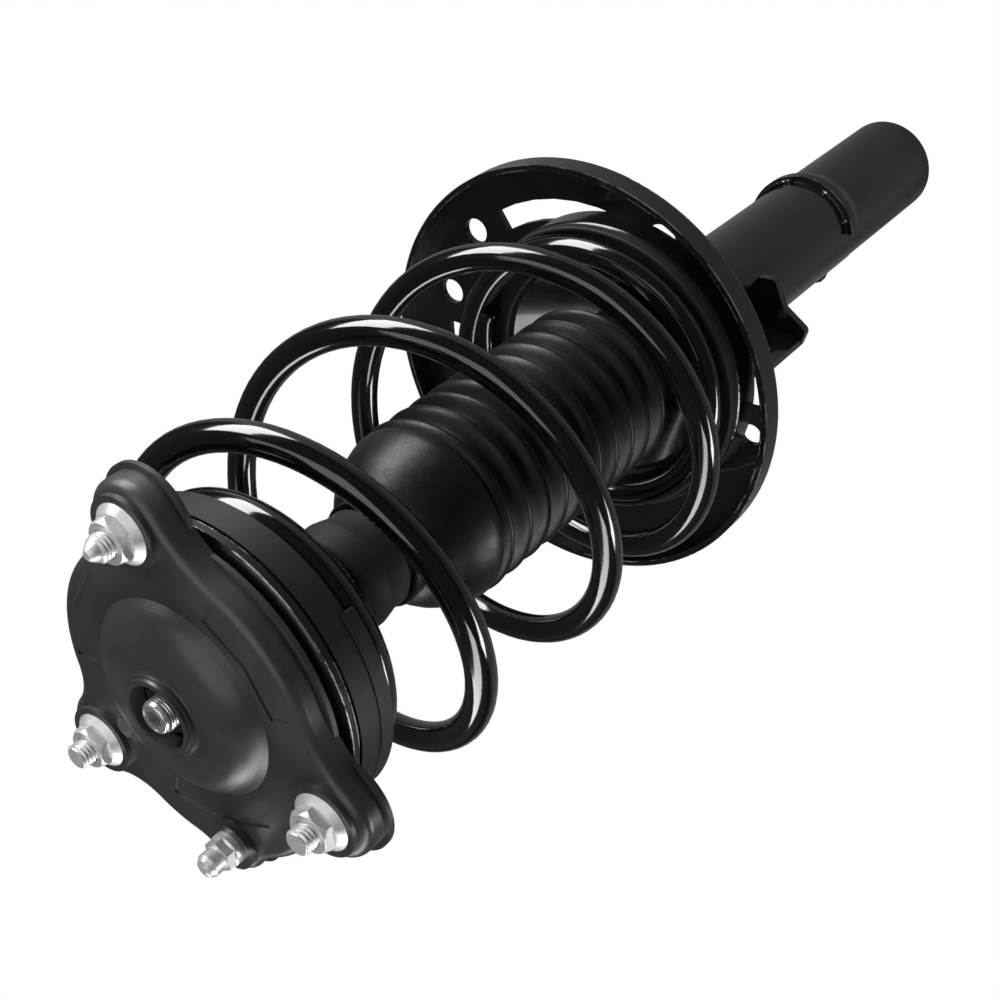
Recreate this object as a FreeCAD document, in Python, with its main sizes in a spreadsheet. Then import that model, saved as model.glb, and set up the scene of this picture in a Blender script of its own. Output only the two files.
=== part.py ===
"""Front strut assembly: damper, offset spring seat, coil spring, boot, bump stop and top mount.

Frame: +Z runs up the strut, the origin is on the strut axis at the lower end of the damper tube,
and +X points to the side to which the lower spring seat is offset.
"""
import FreeCAD, Part
import Sketcher
import math
import os
from FreeCAD import Placement, Rotation, Vector

DIMENSIONS = {
    # damper tube and what is welded to it
    "tube_radius": 25.8, "tube_wall": 2.8, "tube_top": 298, "end_cap_depth": 7,
    "clamp_radius": 25.5, "clamp_depth": 88,
    "ring_level": 104, "ring_depth": 15, "ring_step": 3.2, "ring_angle": 290,
    "bracket_top": 240, "bracket_height": 41, "bracket_reach": 51, "bracket_wing": 25.5,
    "bracket_sheet": 4, "bracket_angle": 140, "link_hole": 12, "link_hole_level": 219,
    # lower spring seat, with its rim centre and its spring track centre offset along +X
    "rim_offset": 44, "rim_radius": 102, "rim_height": 13, "floor_level": 248, "seat_sheet": 3,
    "coil_offset": 19, "track_radius": 69, "track_mouth": 50, "track_level": 266,
    "throat_level": 226, "pad_thickness": 3, "seat_hole_radius": 85,
    # working parts inside the tube
    "cylinder_radius": 17, "cylinder_wall": 1.5, "rod_radius": 11, "guide_depth": 16,
    "piston_level": 232, "piston_depth": 16, "running_fit": 0.05, "cap_radius": 28.2,
    # coil spring
    "wire_radius": 5.9, "coil_radius": 76.6, "foot_radius": 60, "head_radius": 51.3,
    "foot_level": 275, "head_level": 505, "foot_angle": -50, "foot_turns": 0.75,
    "foot_blend": 0.69, "head_turn": 3.58, "head_blend": 0.9, "coil_turns": 5.0,
    "pitch_growth": 6.4,
    # dust boot and bump stop
    "boot_top": 448, "boot_foot": 290, "boot_ridge": 38, "boot_valley": 33, "boot_folds": 10,
    "boot_cup": 418, "boot_wall": 1.6, "stop_radius": 22, "stop_top": 476, "stop_foot": 424,
    # upper spring seat and its bearing
    "seat_radius": 61, "seat_level": 512, "seat_band": 13, "ball_radius": 2.4, "ball_circle": 40,
    "ball_count": 24, "ball_level": 528.6,
    # top mount
    "plate_level": 543.5, "plate_sheet": 3, "plate_depth": 11, "plate_radius": 57,
    "lobe_radius": 17, "plate_lip": 2.2,
    "bulge_circle": 61.5, "pin_circle": 58.5, "pin_angle": 72.5, "pin_boss": 3.5,
    "stud_circle": 63, "stud_angle": 8.5, "stud_radius": 5.1, "stud_end": 4.85, "stud_top": 557,
    "dome_radius": 38, "dome_level": 550, "collar_radius": 15.2, "collar_level": 555,
    "nut_flange": 11, "nut_hex": 15, "nut_height": 6.3, "rod_thread": 6, "rod_top": 556,
}

doc = FreeCAD.newDocument("StrutAssembly")
sheet = doc.addObject("Spreadsheet::Sheet", "Sizes")
for row, (alias, number) in enumerate(DIMENSIONS.items(), start=1):
    sheet.set(f"A{row}", alias)
    sheet.set(f"B{row}", str(number))
    sheet.setAlias(f"B{row}", alias)
doc.recompute()


class Size:
    """A number together with the sheet formula that it comes from."""

    def __init__(self, value, formula):
        self.value = value
        self.formula = formula

    def __add__(self, other):
        other = as_size(other)
        return Size(self.value + other.value, f"({self.formula} + {other.formula})")

    def __sub__(self, other):
        other = as_size(other)
        return Size(self.value - other.value, f"({self.formula} - {other.formula})")

    def __mul__(self, other):
        other = as_size(other)
        return Size(self.value * other.value, f"({self.formula} * {other.formula})")

    def __radd__(self, other):
        return as_size(other) + self

    def __rsub__(self, other):
        return as_size(other) - self

    def __rmul__(self, other):
        return as_size(other) * self


def as_size(number):
    """Wrap a plain number, so that it can stand in a formula."""
    return number if isinstance(number, Size) else Size(float(number), repr(float(number)))


def size(alias):
    """The driving dimension with this alias, read from the sheet."""
    return Size(float(sheet.get(alias)), f"Sizes.{alias}")


class Sizes:
    """Every driving dimension as an attribute."""

    def __init__(self):
        for alias in DIMENSIONS:
            setattr(self, alias, size(alias))


D = Sizes()


# ---------------------------------------------------------------- sketches and features

def new_body(label):
    """A part-design body whose label names the sub-part."""
    body = doc.addObject("PartDesign::Body", "Body_" + label)
    body.Label = label
    return body


def origin_plane(body, role):
    """One of the body's own origin planes."""
    return next(item for item in body.Origin.OriginFeatures if item.Role == role)


def new_sketch(body, name, role="XZ_Plane", level=0):
    """A sketch on an origin plane of the body, raised by level along the plane's normal."""
    sketch = body.newObject("Sketcher::SketchObject", f"{name}_{body.Label}")
    sketch.AttachmentSupport = [(origin_plane(body, role), "")]
    sketch.MapMode = "FlatFace"
    level = as_size(level)
    if level.value:
        sketch.setExpression("AttachmentOffset.Base.z", level.formula)
    return sketch


def fix_coordinate(sketch, axis, item, point, target):
    """Tie one coordinate of a sketch point to a size."""
    target = as_size(target)
    if abs(target.value) < 1e-9:
        base = -2 if axis == "X" else -1
        sketch.addConstraint(Sketcher.Constraint("PointOnObject", item, point, base))
        return
    first, second = ((-1, 1), (item, point)) if target.value > 0 else ((item, point), (-1, 1))
    index = sketch.addConstraint(
        Sketcher.Constraint("Distance" + axis, *first, *second, abs(target.value)))
    sign = "" if target.value > 0 else "-1 * "
    sketch.setExpression(f"Constraints[{index}]", sign + target.formula)


def draw_outline(sketch, points):
    """A closed outline of straight lines with each corner tied to its sizes."""
    corners = [Vector(as_size(x).value, as_size(y).value, 0) for x, y in points]
    count = len(corners)
    for index, corner in enumerate(corners):
        sketch.addGeometry(Part.LineSegment(corner, corners[(index + 1) % count]))
    for index in range(count):
        sketch.addConstraint(
            Sketcher.Constraint("Coincident", index, 2, (index + 1) % count, 1))
    for index, (x, y) in enumerate(points):
        fix_coordinate(sketch, "X", index, 1, x)
        fix_coordinate(sketch, "Y", index, 1, y)


def draw_circle(sketch, radius, x=0, y=0):
    """A circle with its radius and centre tied to their sizes."""
    x, y, radius = as_size(x), as_size(y), as_size(radius)
    item = sketch.addGeometry(
        Part.Circle(Vector(x.value, y.value, 0), Vector(0, 0, 1), radius.value))
    index = sketch.addConstraint(Sketcher.Constraint("Radius", item, radius.value))
    sketch.setExpression(f"Constraints[{index}]", radius.formula)
    fix_coordinate(sketch, "X", item, 3, x)
    fix_coordinate(sketch, "Y", item, 3, y)


def revolve(body, name, points, cut=False, angle=None):
    """Turn an outline of (radius, level) corners about the body's Z axis."""
    sketch = new_sketch(body, name + "Profile")
    draw_outline(sketch, points)
    kind = "Groove" if cut else "Revolution"
    turn = body.newObject("PartDesign::" + kind, f"{name}_{body.Label}")
    turn.Profile = sketch
    turn.ReferenceAxis = (sketch, ["V_Axis"])
    turn.Angle = 360
    if angle is not None:
        turn.setExpression("Angle", angle.formula)
    return turn


def pad(body, sketch, name, length):
    """Raise a sketch by a length."""
    feature = body.newObject("PartDesign::Pad", f"{name}_{body.Label}")
    feature.Profile = sketch
    feature.setExpression("Length", as_size(length).formula)
    return feature


def pocket(body, sketch, name, depth, upwards=False):
    """Cut a sketch into the body, downwards unless upwards is asked for."""
    feature = body.newObject("PartDesign::Pocket", f"{name}_{body.Label}")
    feature.Profile = sketch
    feature.Reversed = upwards
    feature.setExpression("Length", as_size(depth).formula)
    return feature


def loft(body, name, rings, cut=False):
    """A skin between rings, each given as (radius, x, level)."""
    sections = []
    for number, (radius, x, level) in enumerate(rings):
        sketch = new_sketch(body, f"{name}Ring{number}", "XY_Plane", level)
        draw_circle(sketch, radius, x)
        sections.append(sketch)
    kind = "SubtractiveLoft" if cut else "AdditiveLoft"
    feature = body.newObject("PartDesign::" + kind, f"{name}_{body.Label}")
    feature.Profile = sections[0]
    feature.Sections = sections[1:]
    feature.Ruled = True
    return feature


def repeat_about_axis(body, feature, count, angle=360):
    """Repeat a feature about the body's Z axis and make the result the body's tip."""
    pattern = body.newObject("PartDesign::PolarPattern", f"Ring_{feature.Name}")
    pattern.Originals = [feature]
    pattern.Axis = (next(a for a in body.Origin.OriginFeatures if a.Role == "Z_Axis"), [""])
    pattern.Angle = angle
    pattern.Occurrences = count
    body.Tip = pattern
    return pattern


def round_edges(body, name, radius, wanted):
    """Fillet the edges of the body's tip for which wanted(edge) is true."""
    doc.recompute()
    base = body.Tip
    edges = [f"Edge{i}" for i, edge in enumerate(base.Shape.Edges, start=1) if wanted(edge)]
    fillet = body.newObject("PartDesign::Fillet", f"{name}_{body.Label}")
    fillet.Base = (base, edges)
    fillet.setExpression("Radius", as_size(radius).formula)
    doc.recompute()
    return fillet


def level_ring(level, radius, centre=0.0):
    """A test for a circular edge at a level, of a radius about (centre, 0)."""
    def wanted(edge):
        curve = edge.Curve
        return (isinstance(curve, Part.Circle) and abs(curve.Center.z - level) < 0.05
                and abs(curve.Radius - radius) < 0.05 and abs(curve.Center.x - centre) < 0.05)
    return wanted


def turned_part(label, points, offset=None, angle=None):
    """A sub-part that is one revolved outline, placed on an axis offset along +X."""
    body = new_body(label)
    revolve(body, "Turn", points, angle=angle)
    if offset is not None:
        body.setExpression("Placement.Base.x", offset.formula)
    return body


def shape_part(label, shape, turn=0.0):
    """A sub-part whose shape is built directly from the sheet's sizes."""
    feature = doc.addObject("Part::Feature", label)
    feature.Label = label
    feature.Shape = shape
    feature.Placement = Placement(Vector(0, 0, 0), Rotation(Vector(0, 0, 1), turn))
    return feature


def polar(radius, degrees):
    """A point at a radius and angle about the strut axis."""
    return radius * math.cos(math.radians(degrees)), radius * math.sin(math.radians(degrees))


# ---------------------------------------------------------------- damper tube and welded parts

def damper_tube():
    inner = D.tube_radius - D.tube_wall
    turned_part("damper_tube", [
        (inner, 0), (D.clamp_radius, 0), (D.clamp_radius, D.clamp_depth),
        (D.tube_radius, D.clamp_depth), (D.tube_radius, D.tube_top), (inner, D.tube_top)])
    turned_part("tube_end_cap", [
        (0, 1), (inner, 1), (inner, D.end_cap_depth), (inner - 3, D.end_cap_depth),
        (inner - 3, 4), (0, 4)])


def locating_ring():
    outer = D.tube_radius + D.ring_step
    ring = turned_part("locating_ring", [
        (D.tube_radius, D.ring_level - D.ring_depth), (outer, D.ring_level - 5),
        (outer, D.ring_level), (D.tube_radius, D.ring_level)], angle=D.ring_angle)
    ring.setExpression("Placement.Rotation.Yaw", "156")


def link_bracket():
    body = new_body("link_bracket")
    foot = D.bracket_top - D.bracket_height
    half = D.bracket_sheet * 0.5
    inner, reach, wing = D.tube_radius - 3, D.bracket_reach, D.bracket_wing
    web = new_sketch(body, "Web", "XY_Plane", foot)
    draw_outline(web, [(inner, 0 - half), (reach, 0 - half), (reach, half), (inner, half)])
    pad(body, web, "Web", D.bracket_height)
    ear = new_sketch(body, "Ear", "XY_Plane", foot)
    draw_outline(ear, [
        (inner, 0 - half), (reach, 0 - half), (reach + 1.5, 6.5), (reach - 11.5, 13.5),
        (reach - 18.5, wing), (24, wing - 1.5), (20.5, 16.5)])
    pad(body, ear, "Ear", D.bracket_sheet)
    seat = new_sketch(body, "TubeSeat", "XY_Plane", D.bracket_top)
    draw_circle(seat, D.tube_radius)
    pocket(body, seat, "TubeSeat", D.bracket_height)
    hole = new_sketch(body, "LinkHole", "XZ_Plane", half + 1)
    draw_circle(hole, D.link_hole * 0.5, (D.tube_radius + reach) * 0.5 - 0.4, D.link_hole_level)
    pocket(body, hole, "LinkHole", D.bracket_sheet + 2)
    throat = D.tube_radius + D.seat_sheet
    revolve(body, "ThroatRelief", [
        (20, D.throat_level - 0.3), (throat + 0.5, D.throat_level - 0.3),
        (throat + 0.5, D.throat_level + 7), (throat + 5, D.throat_level + 17),
        (20, D.throat_level + 17)], cut=True)

    def ear_corner(edge):
        return (isinstance(edge.Curve, Part.Line) and abs(edge.Length - D.bracket_sheet.value) < 0.1
                and edge.CenterOfMass.y > 5 and edge.CenterOfMass.x > 22)
    round_edges(body, "Corners", 3, ear_corner)
    body.setExpression("Placement.Rotation.Yaw", "Sizes.bracket_angle")


def seat_holes(body):
    """Lightening holes, slots and the drain holes of the lower seat."""
    above = D.floor_level + D.seat_sheet
    rounds = new_sketch(body, "RoundHoles", "XY_Plane", above)
    for degrees, radius, out in ((-75, 6.2, -3), (-47, 6.2, -6), (-151, 7.5, 0), (-166, 7.5, 1),
                                 (180, 7.5, 3), (143, 5.2, 5)):
        x, y = polar(1, degrees)
        arm = D.seat_hole_radius + out
        draw_circle(rounds, radius, D.rim_offset + arm * x, arm * round(y, 9))
    pocket(body, rounds, "RoundHoles", D.seat_sheet + 1)
    slots = ((-136, -88, 73, 83), (152, 168, 84, 95), (-35, -27, 69, 79))
    for number, (first, last, inner, outer) in enumerate(slots):
        slot = new_sketch(body, f"Slot{number}", "XY_Plane", above)
        angles = [first + (last - first) * step / 6 for step in range(7)]
        corners = [(outer, degrees) for degrees in angles]
        corners += [(inner, degrees) for degrees in reversed(angles)]
        points = []
        for radius, degrees in corners:
            x, y = polar(radius, degrees)
            points.append((D.rim_offset + x, as_size(y)))
        draw_outline(slot, points)
        pocket(body, slot, f"Slot{number}", D.seat_sheet + 1)


def lower_spring_seat():
    body = new_body("lower_spring_seat")
    floor = new_sketch(body, "Floor", "XY_Plane", D.floor_level)
    draw_circle(floor, D.rim_radius, D.rim_offset)
    pad(body, floor, "Floor", D.seat_sheet)
    rim = new_sketch(body, "Rim", "XY_Plane", D.floor_level)
    draw_circle(rim, D.rim_radius, D.rim_offset)
    draw_circle(rim, D.rim_radius - D.seat_sheet, D.rim_offset)
    pad(body, rim, "Rim", D.rim_height)
    track = new_sketch(body, "Track", "XY_Plane", D.floor_level)
    draw_circle(track, D.track_radius, D.coil_offset)
    pad(body, track, "Track", D.track_level - D.floor_level)
    hollow = new_sketch(body, "TrackHollow", "XY_Plane", D.floor_level)
    draw_circle(hollow, D.track_radius - D.seat_sheet, D.coil_offset)
    pocket(body, hollow, "TrackHollow", D.track_level - D.floor_level - D.seat_sheet,
           upwards=True)
    throat = D.tube_radius + D.seat_sheet
    loft(body, "Throat", [(throat, 0, D.throat_level), (throat, 0, D.throat_level + 7),
                          (D.track_mouth + D.seat_sheet, D.coil_offset, D.track_level)])
    loft(body, "Bore", [(D.tube_radius, 0, D.throat_level), (D.tube_radius, 0, D.throat_level + 7),
                        (D.track_mouth, D.coil_offset, D.track_level)], cut=True)
    seat_holes(body)
    outer = level_ring(D.floor_level.value, D.rim_radius.value, D.rim_offset.value)
    crown = level_ring(D.track_level.value, D.track_radius.value, D.coil_offset.value)
    round_edges(body, "Bends", 2.5, lambda edge: outer(edge) or crown(edge))


# ---------------------------------------------------------------- inside the tube

def damper_internals():
    inner = D.tube_radius - D.tube_wall
    bore = D.cylinder_radius - D.cylinder_wall
    fit = D.rod_radius + D.running_fit
    guide = D.tube_top - D.guide_depth
    turned_part("base_valve", [
        (0, 4), (19, 4), (19, 14), (bore, 14), (bore, 22), (0, 22)])
    turned_part("pressure_cylinder", [
        (bore, 14), (D.cylinder_radius, 14), (D.cylinder_radius, guide), (bore, guide)])
    turned_part("rod_guide", [
        (fit, guide), (inner, guide), (inner, guide + 10), (fit, guide + 10)])
    turned_part("rod_seal", [
        (fit, guide + 10), (inner, guide + 10), (inner, D.tube_top - 1), (fit + 3, D.tube_top - 1),
        (fit, D.tube_top - 3)])
    turned_part("tube_cap", [
        (D.rod_radius + 1.5, D.tube_top), (D.tube_radius, D.tube_top),
        (D.tube_radius, D.tube_top - 14), (D.cap_radius, D.tube_top - 14),
        (D.cap_radius, D.tube_top + 3), (D.rod_radius + 1.5, D.tube_top + 3)])


def hexagon(body, name, across, level, height, hole=0):
    """A hexagonal prism round the Z axis, with an optional round bore."""
    sketch = new_sketch(body, name, "XY_Plane", level)
    across = as_size(across)
    reach = across * (1 / math.sqrt(3))
    points = []
    for corner in range(6):
        x, y = polar(1, 60 * corner)
        points.append((reach * round(x, 9), reach * round(y, 9)))
    draw_outline(sketch, points)
    if as_size(hole).value:
        draw_circle(sketch, hole)
    return pad(body, sketch, name, height)


def piston_group():
    top = D.piston_level + D.piston_depth
    bore = D.cylinder_radius - D.cylinder_wall
    crown = bore - 0.5
    groove = bore - 1.5
    turned_part("piston", [
        (5, D.piston_level), (crown, D.piston_level), (crown, D.piston_level + 3),
        (groove, D.piston_level + 3), (groove, top - 3), (crown, top - 3), (crown, top), (5, top)])
    turned_part("piston_band", [
        (groove, D.piston_level + 3), (bore - D.running_fit, D.piston_level + 3),
        (bore - D.running_fit, top - 3), (groove, top - 3)])
    nut = new_body("piston_nut")
    hexagon(nut, "Nut", 14, D.piston_level - 7, 7, 5)
    turned_part("rebound_stop", [
        (D.rod_radius, top + 16), (bore - 1, top + 16), (bore - 1, top + 22),
        (D.rod_radius + 1.5, top + 26), (D.rod_radius, top + 26)])


def piston_rod():
    shoulder = D.plate_level - 23.5
    body = turned_part("piston_rod", [
        (0, D.piston_level - 9), (5, D.piston_level - 9), (5, D.piston_level + D.piston_depth),
        (D.rod_radius, D.piston_level + D.piston_depth), (D.rod_radius, shoulder - 1),
        (D.rod_radius - 1, shoulder), (7, shoulder), (7, D.plate_level - 2),
        (D.rod_thread, D.plate_level - 1), (D.rod_thread, D.rod_top - 1),
        (D.rod_thread - 1, D.rod_top), (0, D.rod_top)])
    socket = new_sketch(body, "Socket", "XY_Plane", D.rod_top)
    points = []
    for corner in range(6):
        x, y = polar(3.5, 60 * corner)
        points.append((as_size(round(x, 6)), as_size(round(y, 6))))
    draw_outline(socket, points)
    pocket(body, socket, "Socket", 7)


# ---------------------------------------------------------------- spring, boot and bump stop

def smooth_step(amount):
    """Rise from 0 to 1 with level ends."""
    amount = min(max(amount, 0.0), 1.0)
    return amount * amount * (3 - 2 * amount)


def spring_path(steps_per_turn=14):
    """Centre line of the wire: a closed foot coil, widening body coils, a smaller head coil."""
    turns = D.coil_turns.value
    count = round(turns * steps_per_turn)
    foot_end, head_start = D.foot_turns.value, D.head_turn.value
    stations = []
    for index in range(count + 1):
        turn = turns * index / count
        stations.append((turn, smooth_step((turn - foot_end) / D.foot_blend.value),
                         smooth_step((turn - head_start) / D.head_blend.value)))
    middle = (foot_end + head_start) / 2
    growth = D.pitch_growth.value / D.coil_radius.value
    climb = [0.0]
    for before, after in zip(stations, stations[1:]):
        rates = [low * (1 - high) * (1 + growth * (turn - middle))
                 for turn, low, high in (before, after)]
        climb.append(climb[-1] + sum(rates) / 2 * turns / count)
    rise = (D.head_level.value - D.foot_level.value) / climb[-1]
    points = []
    for (turn, low, high), height in zip(stations, climb):
        radius = (D.foot_radius.value + (D.coil_radius.value - D.foot_radius.value) * low
                  - (D.coil_radius.value - D.head_radius.value) * high)
        x, y = polar(radius, D.foot_angle.value + 360 * turn)
        points.append(Vector(x + D.coil_offset.value * (1 - high), y,
                             D.foot_level.value + rise * height))
    return points


def coil_spring():
    curve = Part.BSplineCurve()
    points = spring_path()
    curve.interpolate(points)
    path = Part.Wire(curve.toShape())
    start = curve.tangent(curve.FirstParameter)[0]
    section = Part.Wire(Part.Circle(points[0], start, D.wire_radius.value).toShape())
    shape = Part.Wire(path).makePipeShell([section], True, True)
    expected = math.pi * D.wire_radius.value ** 2 * path.Length
    print(f"coil spring: volume over section times length {shape.Volume / expected:.4f}")
    shape_part("coil_spring", shape)


def dust_boot():
    """The bellows, closed at its neck on the bump stop and at its foot on the tube cap."""
    neck = D.stop_radius - 0.3
    pitch = (D.boot_cup - D.boot_foot - 8) * (1 / DIMENSIONS["boot_folds"])
    outside = [(neck, D.boot_top), (neck, D.boot_top - 7), (neck + 6, D.boot_top - 12),
               (D.boot_ridge - 5, D.boot_cup + 9), (D.boot_ridge, D.boot_cup + 1)]
    for fold in range(DIMENSIONS["boot_folds"]):
        ridge = D.boot_cup - pitch * fold
        outside.append((D.boot_valley + (0.5 if fold else 4.5), ridge - pitch * 0.12))
        outside.append((D.boot_ridge, ridge - pitch * 0.55))
    foot = D.cap_radius + 0.3
    outside += [(foot + D.boot_wall, D.boot_foot + 7), (foot + D.boot_wall, D.boot_foot)]
    inside = [(radius - D.boot_wall, level - 0.4) for radius, level in outside[2:-2]]
    inside = [(neck - 3, D.boot_top), (neck - 3, D.boot_top - 8)] + inside
    inside += [(foot, D.boot_foot + 6), (foot, D.boot_foot)]
    turned_part("dust_boot", outside + inside[::-1])


def bump_stop():
    foot, top, full = D.stop_foot, D.stop_top, D.stop_radius
    turned_part("bump_stop", [
        (D.rod_radius, foot), (15, foot), (17, foot + 4), (17.5, foot + 10), (15.5, foot + 14),
        (18, foot + 18), (18, foot + 24.5), (full - 2, foot + 25.5), (full, top - 14),
        (full, top - 6), (full - 2, top), (D.rod_radius, top)])
    turned_part("bump_stop_cup", [
        (D.rod_radius, top), (full - 1.5, top), (full - 1.5, top - 0.5), (full + 1, top - 0.5),
        (full + 1, top + 7), (D.rod_radius, top + 7)])


# ---------------------------------------------------------------- upper seat and bearing

def upper_spring_seat():
    body = new_body("upper_spring_seat")
    level, outer = D.seat_level, D.seat_radius
    revolve(body, "Bowl", [
        (24.5, level - 25), (27.5, level - 25), (43, level + 2), (outer, level + 2),
        (outer, level + D.seat_band),
        (outer - 2.5, level + D.seat_band), (outer - 2.5, level + 6), (39, level + 6),
        (24.5, level - 20)])
    skirt = revolve(body, "Skirt", [
        (outer - 2, level - 2), (outer + 0.6, level - 2), (outer + 0.6, level + 4),
        (outer - 2, level + 4)], angle=as_size(70))
    skirt.Midplane = True
    body.setExpression("Placement.Rotation.Yaw", "150")
    turned_part("upper_spring_pad", [
        (44, level - 1), (outer - 2.5, level - 1), (outer - 2.5, level + 2), (44, level + 2)])


def bearing():
    circle, ball, level = D.ball_circle, D.ball_radius, D.ball_level
    inner, outer = circle - 4.5, circle + 4.5
    groove = ball + D.running_fit
    races = {
        "bearing_lower_race": (D.seat_level + 6, level - 0.8),
        "bearing_upper_race": (level + 0.8, level + 3.4),
    }
    for label, (bottom, top) in races.items():
        body = new_body(label)
        revolve(body, "Race", [(inner, bottom), (outer, bottom), (outer, top), (inner, top)])
        sketch = new_sketch(body, "Track")
        draw_circle(sketch, groove, circle, level)
        track = body.newObject("PartDesign::Groove", "Track_" + label)
        track.Profile = sketch
        track.ReferenceAxis = (sketch, ["V_Axis"])
        track.Angle = 360
    balls = []
    for number in range(DIMENSIONS["ball_count"]):
        x, y = polar(circle.value, 360 * number / DIMENSIONS["ball_count"])
        balls.append(Part.makeSphere(ball.value, Vector(x, y, level.value)))
    shape_part("bearing_balls", Part.makeCompound(balls))


# ---------------------------------------------------------------- top mount

def stud_place():
    """Centre of the first stud."""
    x, y = polar(1, D.stud_angle.value)
    return D.stud_circle * x, D.stud_circle * y


def pin_place():
    """Centre of the locating pin."""
    x, y = polar(1, D.pin_angle.value)
    return D.pin_circle * x, D.pin_circle * y


def bulge_place(scale=1.0):
    """Centre of the plate's bulge round the pin, or a point on the line from the axis to it."""
    x, y = polar(scale, D.stud_angle.value + 60)
    return D.bulge_circle * x, D.bulge_circle * y


def raise_disc(body, name, radius, place, level, height):
    """A round pad on the body."""
    sketch = new_sketch(body, name, "XY_Plane", level)
    draw_circle(sketch, radius, *place)
    return pad(body, sketch, name, height)


def sink_disc(body, name, radius, place, level, depth):
    """A round pocket in the body."""
    sketch = new_sketch(body, name, "XY_Plane", level)
    draw_circle(sketch, radius, *place)
    return pocket(body, sketch, name, depth)


def plate_blank(body, inset, level, height, name):
    """The lobed outline of the top plate, drawn in by an inset, as a solid."""
    features = [raise_disc(body, name + "Disc", D.plate_radius - inset, (0, 0), level, height)]
    features.append(raise_disc(body, name + "Shoulder", D.plate_radius - 2 - inset,
                               bulge_place(0.18), level, height))
    features.append(raise_disc(body, name + "PinLobe", 12 - inset, bulge_place(), level, height))
    lobe = raise_disc(body, name + "Lobe", D.lobe_radius - inset, stud_place(), level, height)
    features.append(repeat_about_axis(body, lobe, 3))
    return features


def plate_hollow(body, level):
    """Hollow the blank from below, leaving the sheet's thickness on top and round the edge."""
    depth = D.plate_depth - D.plate_sheet
    inset = D.plate_sheet
    rounds = [("Disc", D.plate_radius - inset, (0, 0)),
              ("Shoulder", D.plate_radius - 2 - inset, bulge_place(0.18)),
              ("PinLobe", 12 - inset, bulge_place()),
              ("Lobe", D.lobe_radius - inset, stud_place())]
    for name, radius, place in rounds:
        sketch = new_sketch(body, "Hollow" + name, "XY_Plane", level)
        draw_circle(sketch, radius, *place)
        feature = pocket(body, sketch, "Hollow" + name, depth, upwards=True)
    repeat_about_axis(body, feature, 3)


def mount_plate():
    body = new_body("mount_plate")
    top = D.plate_level
    level = top - D.plate_depth
    plate_blank(body, as_size(0), level, D.plate_depth, "Blank")
    middle = (level + D.plate_depth * 0.5).value

    def inner_corner(edge):
        return (isinstance(edge.Curve, Part.Line) and edge.Length > 10
                and abs(edge.CenterOfMass.z - middle) < 0.1)

    def between_first_and_last(edge):
        return inner_corner(edge) and edge.CenterOfMass.x < -30

    def elsewhere(edge):
        return inner_corner(edge) and edge.CenterOfMass.x >= -30
    round_edges(body, "Waists", 24, elsewhere)
    round_edges(body, "LongWaists", 48, between_first_and_last)
    round_edges(body, "Rolled", 4,
                lambda edge: all(abs(v.Point.z - top.value) < 0.01 for v in edge.Vertexes))
    plate_blank(body, 0 - D.plate_lip, level, 1.8, "Lip")
    plate_hollow(body, level)
    revolve(body, "Dome", [
        (D.collar_radius - 3, top - 3), (D.dome_radius, top - 3), (D.dome_radius, top),
        (D.dome_radius - 6, D.dome_level - 0.2), (D.collar_radius + 1, D.dome_level + 2.2),
        (D.collar_radius, D.dome_level + 2.6),
        (D.collar_radius, D.collar_level - 1.2),
        (D.collar_radius - 0.7, D.collar_level - 1.2), (D.collar_radius - 1, D.collar_level),
        (D.collar_radius - 3, D.collar_level)])
    revolve(body, "DomeHollow", [
        (0, level - 1), (D.dome_radius - 6, level - 1), (D.dome_radius - 6, top),
        (D.dome_radius - 8, D.dome_level - 3), (D.collar_radius, D.dome_level - 1.5),
        (D.collar_radius - 3, D.dome_level - 1.5), (D.collar_radius - 3, D.collar_level + 1),
        (0, D.collar_level + 1)], cut=True)
    shoulder = level_ring((D.dome_level - 0.2).value, (D.dome_radius - 6).value)
    round_edges(body, "DomeShoulder", 16, shoulder)
    boss = raise_disc(body, "Boss", 13.5, stud_place(), top - 1, 3)
    repeat_about_axis(body, boss, 3)
    raise_disc(body, "PinBoss", 9.5, pin_place(), top - 1, D.pin_boss + 1)
    raise_disc(body, "Nib", 4, polar_place(43, D.stud_angle.value), top - 1, 2.5)
    hole = sink_disc(body, "StudHole", D.stud_radius, stud_place(), top + 2, 6)
    repeat_about_axis(body, hole, 3)
    sink_disc(body, "PinHole", 4, pin_place(), top + D.pin_boss, 8)
    for number, (first, last) in enumerate(((-79, -27), (162, 215), (42, 97))):
        sketch = new_sketch(body, f"Panel{number}", "XY_Plane", top)
        points = []
        for radius, angles in ((52, (first, (first + last) / 2, last)),
                               (42.5, (last, (first + last) / 2, first))):
            for degrees in angles:
                x, y = polar(radius, degrees)
                points.append((as_size(x), as_size(y)))
        draw_outline(sketch, points)
        pocket(body, sketch, f"Panel{number}", 0.6)


def polar_place(radius, degrees):
    """A point about the strut axis as two sizes."""
    x, y = polar(radius, degrees)
    return as_size(x), as_size(y)


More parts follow.
